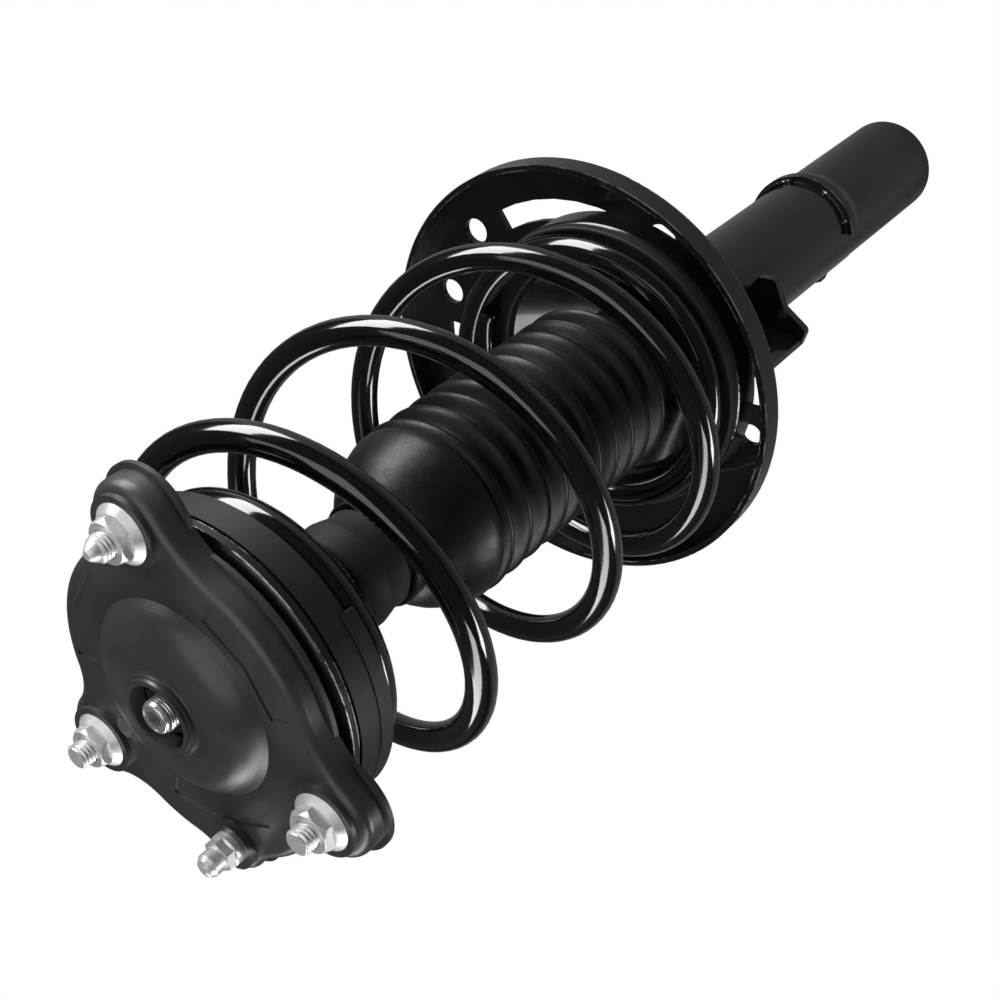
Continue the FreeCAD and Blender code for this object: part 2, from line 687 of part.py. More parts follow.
def mount_core():
    top = D.plate_level
    under = top - D.plate_sheet
    turned_part("mount_lower_shell", [
        (34, top - 11.5), (46, top - 11.5), (46, top - 15), (D.seat_radius - 3, top - 17.3),
        (D.seat_radius, top - 17.3), (D.seat_radius, top - 14.5), (53.5, top - 11.3), (53.5, under),
        (50, under), (50, top - 8.5), (34, top - 8.5)])
    turned_part("mount_rubber", [
        (14, top - 21.5), (30, top - 21.5), (33.9, top - 15.5), (34, top - 11.5),
        (34, top - 8.5), (D.dome_radius - 6, top - 4), (28, top - 1), (21, top - 3),
        (14, top - 3)])
    turned_part("mount_inner_sleeve", [
        (7, top - 23.5), (17, top - 23.5), (17, top - 21.5), (14, top - 21.5), (14, top - 3),
        (7, top - 3)])
    turned_part("mount_washer", [
        (7, top - 3), (20, top - 3), (20, top - 1), (7, top - 1)])


def rod_nut():
    body = new_body("rod_nut")
    hexagon(body, "Nut", 17, D.plate_level - 1, 8, D.rod_thread)


def stud_spots():
    """Centre of each stud."""
    first = D.stud_angle.value
    return [polar(D.stud_circle.value, first + 120 * number) for number in range(3)]


def mount_studs():
    studs = []
    under = D.plate_level.value - D.plate_sheet.value
    radius = D.stud_radius.value
    nut_top = D.plate_level.value + 2 + D.nut_height.value
    shoulder = D.stud_top.value - 1
    end = D.stud_end.value
    for number, (x, y) in enumerate(stud_spots()):
        head = Part.makeCylinder(7.5, 3, Vector(x, y, under - 3))
        shank = Part.makeCylinder(radius, nut_top - under, Vector(x, y, under))
        free_end = Part.makeCylinder(end, shoulder - nut_top, Vector(x, y, nut_top))
        lead = 3.6 if number == 2 else 1
        tip = Part.makeCone(end, end - lead * 0.85, lead, Vector(x, y, shoulder))
        studs.append(head.fuse([shank, free_end, tip]).removeSplitter())
    shape_part("mount_studs", Part.makeCompound(studs))


def flange_nuts():
    nuts = []
    level = D.plate_level.value + 2
    reach = D.nut_hex.value / math.sqrt(3)
    for x, y in stud_spots():
        flange = Part.makeCone(D.nut_flange.value, reach, 2.4, Vector(x, y, level))
        corners = []
        for corner in range(7):
            dx, dy = polar(reach, 60 * corner)
            corners.append(Vector(x + dx, y + dy, level))
        prism = Part.Face(Part.makePolygon(corners)).extrude(Vector(0, 0, D.nut_height.value))
        crown = Part.makeCone(reach + 6, reach - 1.3, 9.6,
                              Vector(x, y, level + D.nut_height.value - 9.6))
        nut = flange.fuse(prism.common(crown))
        nuts.append(nut.cut(Part.makeCylinder(D.stud_radius.value, 20, Vector(x, y, level - 1))))
    shape_part("flange_nuts", Part.makeCompound(nuts))


def locating_pin():
    body = new_body("locating_pin")
    top = D.plate_level
    flange = top + D.pin_boss
    revolve(body, "Pin", [
        (0, top - 4), (4, top - 4), (4, flange), (6.4, flange), (6.4, flange + 2.4),
        (4.6, flange + 3.6), (4.6, flange + 10.5), (3.4, flange + 12.2), (1.5, flange + 13),
        (0, flange + 13)])
    hexagon(body, "Facets", 10.8, flange + 2, 4)
    x, y = pin_place()
    body.setExpression("Placement.Base.x", x.formula)
    body.setExpression("Placement.Base.y", y.formula)


def check_document():
    """Stop if any object failed to compute or any sub-part has no valid shape."""
    doc.recompute()
    for item in doc.Objects:
        if "Invalid" in item.State or "Error" in item.State:
            raise RuntimeError(f"{item.Label} did not compute: {item.State}")
    parts = [item for item in doc.Objects
             if item.isDerivedFrom("PartDesign::Body") or item.TypeId == "Part::Feature"]
    for item in parts:
        if item.Shape.isNull() or not item.Shape.isValid():
            raise RuntimeError(f"{item.Label} has no valid shape")
    return parts


def main():
    for build in (damper_tube, locating_ring, link_bracket, lower_spring_seat, damper_internals,
                  piston_group, piston_rod, coil_spring, dust_boot, bump_stop, upper_spring_seat,
                  bearing, mount_plate, mount_core, rod_nut, mount_studs, flange_nuts,
                  locating_pin):
        build()
    turned_part("lower_spring_pad", [
        (D.track_mouth + 1.5, D.track_level), (D.track_radius - 2.6, D.track_level),
        (D.track_radius - 0.5, D.track_level), (D.track_radius - 0.5, D.track_level + 4.5),
        (D.track_radius - 2.6, D.track_level + 4.5),
        (D.track_radius - 2.6, D.track_level + D.pad_thickness),
        (D.track_mouth + 1.5, D.track_level + D.pad_thickness)], offset=D.coil_offset)
    os.makedirs("parts", exist_ok=True)
    for item in check_document():
        item.Shape.exportStep(f"parts/{item.Label}.step")
        box = item.Shape.BoundBox
        print(f"{item.Label:22s} volume {item.Shape.Volume:10.0f}  solids {len(item.Shape.Solids)}"
              f"  z {box.ZMin:7.1f} to {box.ZMax:7.1f}")


main()
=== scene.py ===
"""Visual model of a front strut: damper, offset spring seat, spring, boot and top mount."""
import logging
import math
from dataclasses import dataclass
from enum import Enum

import bmesh
import bpy
from mathutils import Matrix, Vector


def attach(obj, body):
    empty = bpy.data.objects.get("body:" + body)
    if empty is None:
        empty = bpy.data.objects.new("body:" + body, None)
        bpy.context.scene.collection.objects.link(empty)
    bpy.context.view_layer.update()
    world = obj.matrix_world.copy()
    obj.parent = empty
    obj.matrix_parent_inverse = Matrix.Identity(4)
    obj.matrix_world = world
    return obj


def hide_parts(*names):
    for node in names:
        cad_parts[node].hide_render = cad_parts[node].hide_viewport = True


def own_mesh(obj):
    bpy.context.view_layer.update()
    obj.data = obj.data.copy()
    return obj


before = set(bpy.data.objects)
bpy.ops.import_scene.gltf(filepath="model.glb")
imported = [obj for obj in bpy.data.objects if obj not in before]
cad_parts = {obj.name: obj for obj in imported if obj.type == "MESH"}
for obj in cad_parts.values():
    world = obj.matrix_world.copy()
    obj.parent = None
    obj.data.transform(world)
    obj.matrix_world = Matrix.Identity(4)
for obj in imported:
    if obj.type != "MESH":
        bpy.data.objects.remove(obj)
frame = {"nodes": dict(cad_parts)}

LOG = logging.getLogger("strut")
MM = 0.001
TAU = 2 * math.pi


class Body(str, Enum):
    """The rigid bodies of the assembly."""

    DAMPER = "damper"
    UPPER_SEAT = "upper_seat"
    TOP_MOUNT = "top_mount"


# ---------------------------------------------------------------- mesh helpers

def polar(radius: float, degrees: float, level: float = 0.0) -> Vector:
    """Place a point about the strut axis.

    Args:
        radius: Distance from the axis in metres.
        degrees: Angle from +X in degrees.
        level: Height in metres.

    Returns:
        The point.
    """
    angle = math.radians(degrees)
    return Vector((radius * math.cos(angle), radius * math.sin(angle), level))


def finish_piece(mesh: bmesh.types.BMesh, name: str, material: bpy.types.Material,
                 smooth_angle: float = 35.0) -> bpy.types.Object:
    """Turn a bmesh into a clean object at the origin, facing outwards.

    Args:
        mesh: The finished bmesh, which is freed.
        name: Name of the new object.
        material: Material of every face.
        smooth_angle: Edges sharper than this many degrees stay crisp.

    Returns:
        The new object.
    """
    bmesh.ops.remove_doubles(mesh, verts=mesh.verts, dist=1e-6)
    bmesh.ops.recalc_face_normals(mesh, faces=mesh.faces)
    for face in mesh.faces:
        face.smooth = True
    limit = math.radians(smooth_angle)
    for edge in mesh.edges:
        if len(edge.link_faces) == 2 and edge.calc_face_angle(0.0) > limit:
            edge.smooth = False
    data = bpy.data.meshes.new(name)
    mesh.to_mesh(data)
    mesh.free()
    data.materials.append(material)
    piece = bpy.data.objects.new(name, data)
    bpy.context.scene.collection.objects.link(piece)
    return piece


def lathe(outline: list[tuple[float, float]], steps: int = 96,
          centre: Vector = Vector((0, 0, 0))) -> bmesh.types.BMesh:
    """Spin a closed outline of (radius, level) points about an upright axis.

    Args:
        outline: Points in metres, in order round the section.
        steps: Number of steps in the full turn.
        centre: A point on the axis.

    Returns:
        A bmesh of the turned shape.
    """
    mesh = bmesh.new()
    verts = [mesh.verts.new((radius + centre.x, centre.y, level)) for radius, level in outline]
    edges = [mesh.edges.new(pair) for pair in zip(verts, verts[1:] + verts[:1])]
    bmesh.ops.spin(mesh, geom=verts + edges, cent=centre, axis=(0, 0, 1), dvec=(0, 0, 0),
                   angle=TAU, steps=steps, use_merge=True, use_duplicate=False)
    bmesh.ops.remove_doubles(mesh, verts=mesh.verts, dist=1e-6)
    return mesh


def arc(centre: tuple[float, float], radius: float, start: float, end: float,
        steps: int) -> list[tuple[float, float]]:
    """Points along a circular arc of a section.

    Args:
        centre: Radius and level of the arc's centre.
        radius: Radius of the arc.
        start: Angle in degrees where it starts.
        end: Angle in degrees where it ends.
        steps: Number of steps along it.

    Returns:
        The points, one more than the steps.
    """
    points = []
    for index in range(steps + 1):
        angle = math.radians(start + (end - start) * index / steps)
        points.append((centre[0] + radius * math.cos(angle), centre[1] + radius * math.sin(angle)))
    return points


def smooth_step(amount: float) -> float:
    """Rise from 0 to 1 with level ends."""
    amount = min(max(amount, 0.0), 1.0)
    return amount * amount * (3 - 2 * amount)


def sweep(path: list[Vector], radius: float, sides: int, taper: int = 0,
          across: Vector = Vector((0, 0, 1))) -> bmesh.types.BMesh:
    """Extrude a round section along a path, with closed ends.

    Args:
        path: Centre line in metres.
        radius: Radius of the section.
        sides: Number of sides of the section.
        taper: Number of end stations over which the section closes to a point, or 0 for flat ends.
        across: A direction that the path never runs along.

    Returns:
        A bmesh of the swept bar.
    """
    mesh = bmesh.new()
    ring: list[bmesh.types.BMVert] = []
    last = len(path) - 1
    for index, point in enumerate(path):
        ahead = path[min(index + 1, last)] - path[max(index - 1, 0)]
        ahead.normalize()
        side = ahead.cross(across).normalized()
        up = side.cross(ahead)
        near = min(index, last - index)
        size = radius if near >= taper else radius * max(math.sin(near / taper * math.pi / 2), 0.08)
        if not ring:
            made = bmesh.ops.create_circle(mesh, cap_ends=True, segments=sides, radius=1.0)
            ring = made["verts"]
            units = [Vector(vert.co) for vert in ring]
        else:
            old = [edge for edge in {e for v in ring for e in v.link_edges}
                   if edge.verts[0] in ring and edge.verts[1] in ring]
            grown = bmesh.ops.extrude_edge_only(mesh, edges=old)["geom"]
            fresh = [item for item in grown if isinstance(item, bmesh.types.BMVert)]
            partner = {}
            for vert in fresh:
                for edge in vert.link_edges:
                    other = edge.other_vert(vert)
                    if other in ring:
                        partner[other] = vert
            ring = [partner[vert] for vert in ring]
        for vert, unit in zip(ring, units):
            vert.co = point + (side * unit.x + up * unit.y) * size
    mesh.faces.new(ring)
    return mesh


def screw_bar(radius: float, pitch: float, depth: float, bottom: float, top: float,
              centre: Vector, chamfer: float, steps: int = 24) -> bmesh.types.BMesh:
    """Make a threaded bar that stands upright, closed at both ends.

    Args:
        radius: Crest radius in metres.
        pitch: Distance between crests.
        depth: Depth of the thread.
        bottom: Level of the lower end.
        top: Level of the upper end.
        centre: A point on the bar's axis.
        chamfer: Height of the cone that starts the thread at the top.
        steps: Steps in each turn.

    Returns:
        A bmesh of the bar.
    """
    mesh = bmesh.new()
    turns = math.ceil((top - bottom) / pitch) + 2
    section = [(radius - depth, 0.0), (radius - depth * 0.1, pitch * 0.42),
               (radius - depth * 0.1, pitch * 0.58), (radius - depth, pitch)]
    verts = [mesh.verts.new((centre.x + across, centre.y, bottom - pitch + level))
             for across, level in section]
    edges = [mesh.edges.new(pair) for pair in zip(verts, verts[1:])]
    bmesh.ops.spin(mesh, geom=verts + edges, cent=centre, axis=(0, 0, 1),
                   dvec=(0, 0, pitch / steps), angle=TAU * turns, steps=steps * turns,
                   use_merge=False, use_duplicate=False)
    bmesh.ops.remove_doubles(mesh, verts=mesh.verts, dist=2e-6)
    for level, facing in ((bottom, -1), (top, 1)):
        bmesh.ops.bisect_plane(mesh, geom=mesh.verts[:] + mesh.edges[:] + mesh.faces[:],
                               plane_co=(0, 0, level), plane_no=(0, 0, facing),
                               clear_outer=True)
        open_edges = [edge for edge in mesh.edges if edge.is_boundary
                      and all(abs(v.co.z - level) < 1e-6 for v in edge.verts)]
        bmesh.ops.holes_fill(mesh, edges=open_edges, sides=0)
    for vert in mesh.verts:
        left = top - vert.co.z
        if left < chamfer:
            arm = Vector((vert.co.x - centre.x, vert.co.y - centre.y))
            limit = radius - depth * 1.15 * (1 - left / chamfer)
            if arm.length > limit:
                arm *= limit / arm.length
                vert.co.x, vert.co.y = centre.x + arm.x, centre.y + arm.y
    return mesh


# ---------------------------------------------------------------- shader graphs

class Graph:
    """A node tree with short calls for adding, joining and calculating."""

    def __init__(self, tree: bpy.types.NodeTree) -> None:
        """Keep the tree to build in."""
        self.tree = tree

    def add(self, kind: str, **settings: object) -> bpy.types.Node:
        """Add a node.

        Args:
            kind: Type name of the node.
            settings: Properties to set on it.

        Returns:
            The node.
        """
        node = self.tree.nodes.new(kind)
        for name, value in settings.items():
            setattr(node, name, value)
        return node

    def put(self, target: bpy.types.NodeSocket, value: object) -> None:
        """Join a socket to an input, or set the input to a plain value.

        Args:
            target: The input.
            value: An output socket or a plain value.
        """
        if isinstance(value, bpy.types.NodeSocket):
            self.tree.links.new(value, target)
        else:
            target.default_value = value

    def calc(self, operation: str, *values: object, clamp: bool = False) -> bpy.types.NodeSocket:
        """Work out one number from sockets or plain numbers.

        Args:
            operation: Name of the math operation.
            values: The one to three operands.
            clamp: Whether the result is kept between 0 and 1.

        Returns:
            The socket of the result.
        """
        node = self.add("ShaderNodeMath", operation=operation, use_clamp=clamp)
        for target, value in zip(node.inputs, values):
            self.put(target, value)
        return node.outputs[0]

    def noise(self, vector: bpy.types.NodeSocket, scale: object, detail: float = 4.0,
              roughness: float = 0.55) -> bpy.types.NodeSocket:
        """Add a noise texture.

        Args:
            vector: Where the noise is read.
            scale: Its frequency per metre.
            detail: Number of finer layers.
            roughness: Strength of the finer layers.

        Returns:
            The socket of its value.
        """
        node = self.add("ShaderNodeTexNoise")
        self.put(node.inputs["Vector"], vector)
        self.put(node.inputs["Scale"], scale)
        self.put(node.inputs["Detail"], detail)
        self.put(node.inputs["Roughness"], roughness)
        return node.outputs["Fac"]

    def span(self, value: bpy.types.NodeSocket, low: float, high: float, to_low: object,
             to_high: object) -> bpy.types.NodeSocket:
        """Map a range of a value smoothly on to another range.

        Args:
            value: The value to map.
            low: Start of its range.
            high: End of its range.
            to_low: Result at the start.
            to_high: Result at the end.

        Returns:
            The socket of the result.
        """
        node = self.add("ShaderNodeMapRange", interpolation_type="SMOOTHSTEP")
        for target, item in zip(node.inputs, (value, low, high, to_low, to_high)):
            self.put(target, item)
        return node.outputs["Result"]

    def blend(self, amount: object, first: object, second: object) -> bpy.types.NodeSocket:
        """Mix two colours.

        Args:
            amount: Share of the second colour.
            first: The first colour.
            second: The second colour.

        Returns:
            The socket of the result.
        """
        node = self.add("ShaderNodeMix", data_type="RGBA")
        self.put(node.inputs["Factor"], amount)
        self.put(node.inputs[6], first)
        self.put(node.inputs[7], second)
        return node.outputs[2]


def open_group(name: str, inputs: dict[str, float | None],
               outputs: tuple[str, ...]) -> tuple[Graph, bpy.types.Node, bpy.types.Node]:
    """Start a shader node group with named sockets.

    Args:
        name: Name of the group.
        inputs: Default of each number input, or None where the input is a vector.
        outputs: Names of the number outputs.

    Returns:
        The group's graph, its input node and its output node.
    """
    tree = bpy.data.node_groups.new(name, "ShaderNodeTree")
    for label, default in inputs.items():
        kind = "NodeSocketVector" if default is None else "NodeSocketFloat"
        socket = tree.interface.new_socket(name=label, in_out="INPUT", socket_type=kind)
        if default is not None:
            socket.default_value = default
    for label in outputs:
        tree.interface.new_socket(name=label, in_out="OUTPUT", socket_type="NodeSocketFloat")
    graph = Graph(tree)
    return graph, graph.add("NodeGroupInput"), graph.add("NodeGroupOutput")


def surface_grain() -> bpy.types.NodeTree:
    """Build the group for orange peel, moulded grain and cloudy patches.

    Returns:
        The group, which gives Height and Patches.
    """
    graph, given, made = open_group(
        "SurfaceGrain", {"Vector": None, "Scale": 900.0, "Patch Scale": 30.0},
        ("Height", "Patches"))
    place = given.outputs["Vector"]
    fine = graph.noise(place, given.outputs["Scale"], 3.0)
    coarse = graph.noise(place, graph.calc("MULTIPLY", given.outputs["Scale"], 0.23), 2.0)
    graph.put(made.inputs["Height"],
              graph.calc("ADD", graph.calc("MULTIPLY", fine, 0.6),
                         graph.calc("MULTIPLY", coarse, 0.4)))
    patches = graph.noise(place, given.outputs["Patch Scale"], 5.0, 0.62)
    graph.put(made.inputs["Patches"], graph.span(patches, 0.36, 0.66, 0.0, 1.0))
    return graph.tree


def ring_wear_and_highlight() -> bpy.types.NodeTree:
    """Build the group for bare metal along a round edge: paint rubbed through on the ring and seat,
    a painted highlight line on the mount shell's rim.

    Returns:
        The group, which gives Mask.
    """
    graph, given, made = open_group(
        "RingWearAndHighlight", {"Vector": None, "Offset": 0.0, "Radius": 0.1, "Level": 0.0,
                     "Reach": 0.001, "Amount": 0.5}, ("Mask",))
    parts = graph.add("ShaderNodeSeparateXYZ")
    graph.put(parts.inputs[0], given.outputs["Vector"])
    along = graph.calc("SUBTRACT", parts.outputs["X"], given.outputs["Offset"])
    arm = graph.calc("SQRT", graph.calc("ADD", graph.calc("MULTIPLY", along, along),
                                        graph.calc("MULTIPLY", parts.outputs["Y"],
                                                   parts.outputs["Y"])))
    out = graph.calc("SUBTRACT", arm, given.outputs["Radius"])
    rise = graph.calc("SUBTRACT", parts.outputs["Z"], given.outputs["Level"])
    gap = graph.calc("SQRT", graph.calc("ADD", graph.calc("MULTIPLY", out, out),
                                        graph.calc("MULTIPLY", rise, rise)))
    near = graph.calc("SUBTRACT", 1.0, graph.calc("DIVIDE", gap, given.outputs["Reach"]),
                      clamp=True)
    specks = graph.noise(given.outputs["Vector"], 2600.0, 3.0, 0.7)
    stretches = graph.noise(given.outputs["Vector"], 55.0, 3.0, 0.6)
    chance = graph.calc("MULTIPLY", specks, graph.span(stretches, 0.38, 0.62, 0.55, 1.15))
    keep = graph.calc("SUBTRACT", 1.0, given.outputs["Amount"])
    bare = graph.calc("GREATER_THAN", graph.calc("MULTIPLY", chance, near),
                      graph.calc("MULTIPLY", keep, 0.75))
    graph.put(made.inputs["Mask"], bare)
    return graph.tree


def fine_dust() -> bpy.types.NodeTree:
    """Build the group for a thin scatter of dust and faint smears.

    Returns:
        The group, which gives Mask and Smears.
    """
    graph, given, made = open_group("FineDust", {"Vector": None, "Amount": 0.2},
                                    ("Mask", "Smears"))
    place = given.outputs["Vector"]
    specks = graph.span(graph.noise(place, 1500.0, 2.0, 0.6), 0.66, 0.74, 0.0, 1.0)
    cloud = graph.span(graph.noise(place, 22.0, 4.0, 0.6), 0.42, 0.7, 0.0, 1.0)
    graph.put(made.inputs["Mask"],
              graph.calc("MULTIPLY", graph.calc("MULTIPLY", specks, cloud),
                         given.outputs["Amount"], clamp=True))
    stretched = graph.add("ShaderNodeMapping")
    graph.put(stretched.inputs["Vector"], place)
    stretched.inputs["Scale"].default_value = (1.0, 1.0, 0.18)
    smears = graph.noise(stretched.outputs["Vector"], 95.0, 4.0, 0.6)
    graph.put(made.inputs["Smears"],
              graph.calc("MULTIPLY", smears, given.outputs["Amount"], clamp=True))
    return graph.tree


def turning_marks() -> bpy.types.NodeTree:
    """Build the group for the fine rings a tool or a plating bath leaves on bright metal.

    Returns:
        The group, which gives Height and Mottle.
    """
    graph, given, made = open_group("TurningMarks", {"Vector": None, "Scale": 900.0},
                                    ("Height", "Mottle"))
    squeezed = graph.add("ShaderNodeMapping")
    graph.put(squeezed.inputs["Vector"], given.outputs["Vector"])
    squeezed.inputs["Scale"].default_value = (0.06, 0.06, 1.0)
    graph.put(made.inputs["Height"],
              graph.noise(squeezed.outputs["Vector"], given.outputs["Scale"], 3.0, 0.5))
    graph.put(made.inputs["Mottle"], graph.noise(given.outputs["Vector"], 260.0, 5.0, 0.65))
    return graph.tree


@dataclass(frozen=True)
class WearAndHighlightLine:
    """A round edge drawn as bare metal: paint rubbed through on the ring and seat, a painted
    highlight line on the mount shell's rim.
    """

    radius: float
    level: float
    reach: float
    amount: float
    offset: float = 0.0


class EffectGroups:
    """The node groups that the finishes share, each built once."""

    def __init__(self) -> None:
        """Build every group."""
        self.grain = surface_grain()
        self.wear_and_highlight = ring_wear_and_highlight()
        self.dust = fine_dust()
        self.marks = turning_marks()


@dataclass(frozen=True)
class Finish:
    """A surface finish: its name and how it takes the light."""

    name: str
    colour: tuple[float, float, float]
    roughness: float
    specular: float = 0.5

    def open(self, bump: float) -> tuple[bpy.types.Material, Graph, bpy.types.Node,
                                         bpy.types.NodeSocket, bpy.types.Node]:
        """Start the material.

        Args:
            bump: Height in metres of the finest relief.

        Returns:
            The material, its graph, its shader, the object coordinates and its bump node.
        """
        material = bpy.data.materials.new(self.name)
        material.use_nodes = True
        graph = Graph(material.node_tree)
        shader = material.node_tree.nodes["Principled BSDF"]
        shader.inputs["Specular IOR Level"].default_value = self.specular
        place = graph.add("ShaderNodeTexCoord").outputs["Object"]
        relief = graph.add("ShaderNodeBump")
        relief.inputs["Strength"].default_value = 1.0
        relief.inputs["Distance"].default_value = bump
        graph.put(shader.inputs["Normal"], relief.outputs["Normal"])
        return material, graph, shader, place, relief

    def effect(self, graph: Graph, tree: bpy.types.NodeTree,
               **values: object) -> bpy.types.Node:
        """Place a shared group in the material with its own values.

        Args:
            graph: The material's graph.
            tree: The shared group.
            values: Values of its inputs, with underscores for spaces.

        Returns:
            The group's node.
        """
        node = graph.add("ShaderNodeGroup", node_tree=tree)
        for label, value in values.items():
            graph.put(node.inputs[label.replace("_", " ")], value)
        return node


@dataclass(frozen=True)
class PaintedSteel(Finish):
    """Black paint or powder coat on steel."""

    coat: float = 0.0
    grain_scale: float = 700.0
    grain_depth: float = 0.00002
    dust: float = 0.15
    wear_and_highlight: tuple[WearAndHighlightLine, ...] = ()

    def build(self, groups: EffectGroups) -> bpy.types.Material:
        """Make the paint's material.

        Args:
            groups: The shared node groups.

        Returns:
            The material.
        """
        material, graph, shader, place, relief = self.open(self.grain_depth)
        grain = self.effect(graph, groups.grain, Vector=place, Scale=self.grain_scale,
                            Patch_Scale=18.0)
        dust = self.effect(graph, groups.dust, Vector=place, Amount=self.dust)
        graph.put(relief.inputs["Height"], grain.outputs["Height"])
        dark = (*(0.72 * c for c in self.colour), 1.0)
        colour = graph.blend(grain.outputs["Patches"], dark, (*self.colour, 1.0))
        colour = graph.blend(dust.outputs["Mask"], colour, (0.22, 0.22, 0.21, 1.0))
        rough = graph.span(grain.outputs["Patches"], 0.0, 1.0, self.roughness * 0.88,
                           self.roughness * 1.14)
        rough = graph.calc("ADD", rough, graph.calc("MULTIPLY", dust.outputs["Smears"], 0.16))
        metal: object = 0.0
        # Bare metal along each line: paint rubbed through on the ring and seat, a painted highlight
        # line on the mount shell's rim.
        for line in self.wear_and_highlight:
            rubbed_and_highlit = self.effect(graph, groups.wear_and_highlight, Vector=place, Offset=line.offset,
                               Radius=line.radius, Level=line.level, Reach=line.reach,
                               Amount=line.amount).outputs["Mask"]
            colour = graph.blend(rubbed_and_highlit, colour, (0.62, 0.62, 0.63, 1.0))
            rough = graph.calc("MAXIMUM", rough, graph.calc("MULTIPLY", rubbed_and_highlit, 0.38))
            metal = graph.calc("MAXIMUM", metal, rubbed_and_highlit)
        graph.put(shader.inputs["Base Color"], colour)
        graph.put(shader.inputs["Roughness"], rough)
        graph.put(shader.inputs["Metallic"], metal)
        shader.inputs["Coat Weight"].default_value = self.coat
        shader.inputs["Coat Roughness"].default_value = 0.06
        return material


@dataclass(frozen=True)
class MouldedSurface(Finish):
    """Rubber, foam or plastic with a moulded grain."""

    grain_scale: float = 1400.0
    grain_depth: float = 0.00005
    bloom: float = 0.3

    def build(self, groups: EffectGroups) -> bpy.types.Material:
        """Make the moulded surface's material.

        Args:
            groups: The shared node groups.

        Returns:
            The material.
        """
        material, graph, shader, place, relief = self.open(self.grain_depth)
        grain = self.effect(graph, groups.grain, Vector=place, Scale=self.grain_scale,
                            Patch_Scale=26.0)
        dust = self.effect(graph, groups.dust, Vector=place, Amount=self.bloom)
        graph.put(relief.inputs["Height"], grain.outputs["Height"])
        pale = (*(1.5 * c for c in self.colour), 1.0)
        colour = graph.blend(grain.outputs["Patches"], (*self.colour, 1.0), pale)
        colour = graph.blend(dust.outputs["Mask"], colour, (0.16, 0.16, 0.155, 1.0))
        graph.put(shader.inputs["Base Color"], colour)
        graph.put(shader.inputs["Roughness"],
                  graph.span(grain.outputs["Height"], 0.3, 0.7, self.roughness - 0.06,
                             self.roughness + 0.08))
        return material


@dataclass(frozen=True)
class BrightMetal(Finish):
    """Bare, plated or blued metal."""

    mark_scale: float = 900.0
    mark_depth: float = 0.00001
    tint: tuple[float, float, float] = (0.5, 0.5, 0.5)
    metallic: float = 1.0

    def build(self, groups: EffectGroups) -> bpy.types.Material:
        """Make the metal's material.

        Args:
            groups: The shared node groups.

        Returns:
            The material.
        """
        material, graph, shader, place, relief = self.open(self.mark_depth)
        marks = self.effect(graph, groups.marks, Vector=place, Scale=self.mark_scale)
        grain = self.effect(graph, groups.grain, Vector=place, Scale=1800.0,
                            Patch_Scale=120.0)
        graph.put(relief.inputs["Height"],
                  graph.calc("ADD", marks.outputs["Height"],
                             graph.calc("MULTIPLY", grain.outputs["Height"], 0.35)))
        amount = graph.span(marks.outputs["Mottle"], 0.35, 0.7, 0.0, 0.6)
        graph.put(shader.inputs["Base Color"],
                  graph.blend(amount, (*self.colour, 1.0), (*self.tint, 1.0)))
        graph.put(shader.inputs["Roughness"],
                  graph.span(marks.outputs["Mottle"], 0.3, 0.7, self.roughness * 0.8,
                             self.roughness * 1.3))
        shader.inputs["Metallic"].default_value = self.metallic
        return material


SEAT_RIM = (WearAndHighlightLine(0.102, 0.261, 0.0011, 0.52, 0.044),
            WearAndHighlightLine(0.0995, 0.261, 0.0009, 0.40, 0.044))
# Painted highlight: bare-metal lines on the mount shell's rim stand in for the bright line that
# light draws along it.
SHELL_RIM_HIGHLIGHT = (WearAndHighlightLine(0.061, 0.529, 0.0011, 0.50), WearAndHighlightLine(0.061, 0.5262, 0.0009, 0.42))
RING_EDGE = (WearAndHighlightLine(0.0290, 0.104, 0.0012, 0.42), WearAndHighlightLine(0.0258, 0.1043, 0.0013, 0.44))


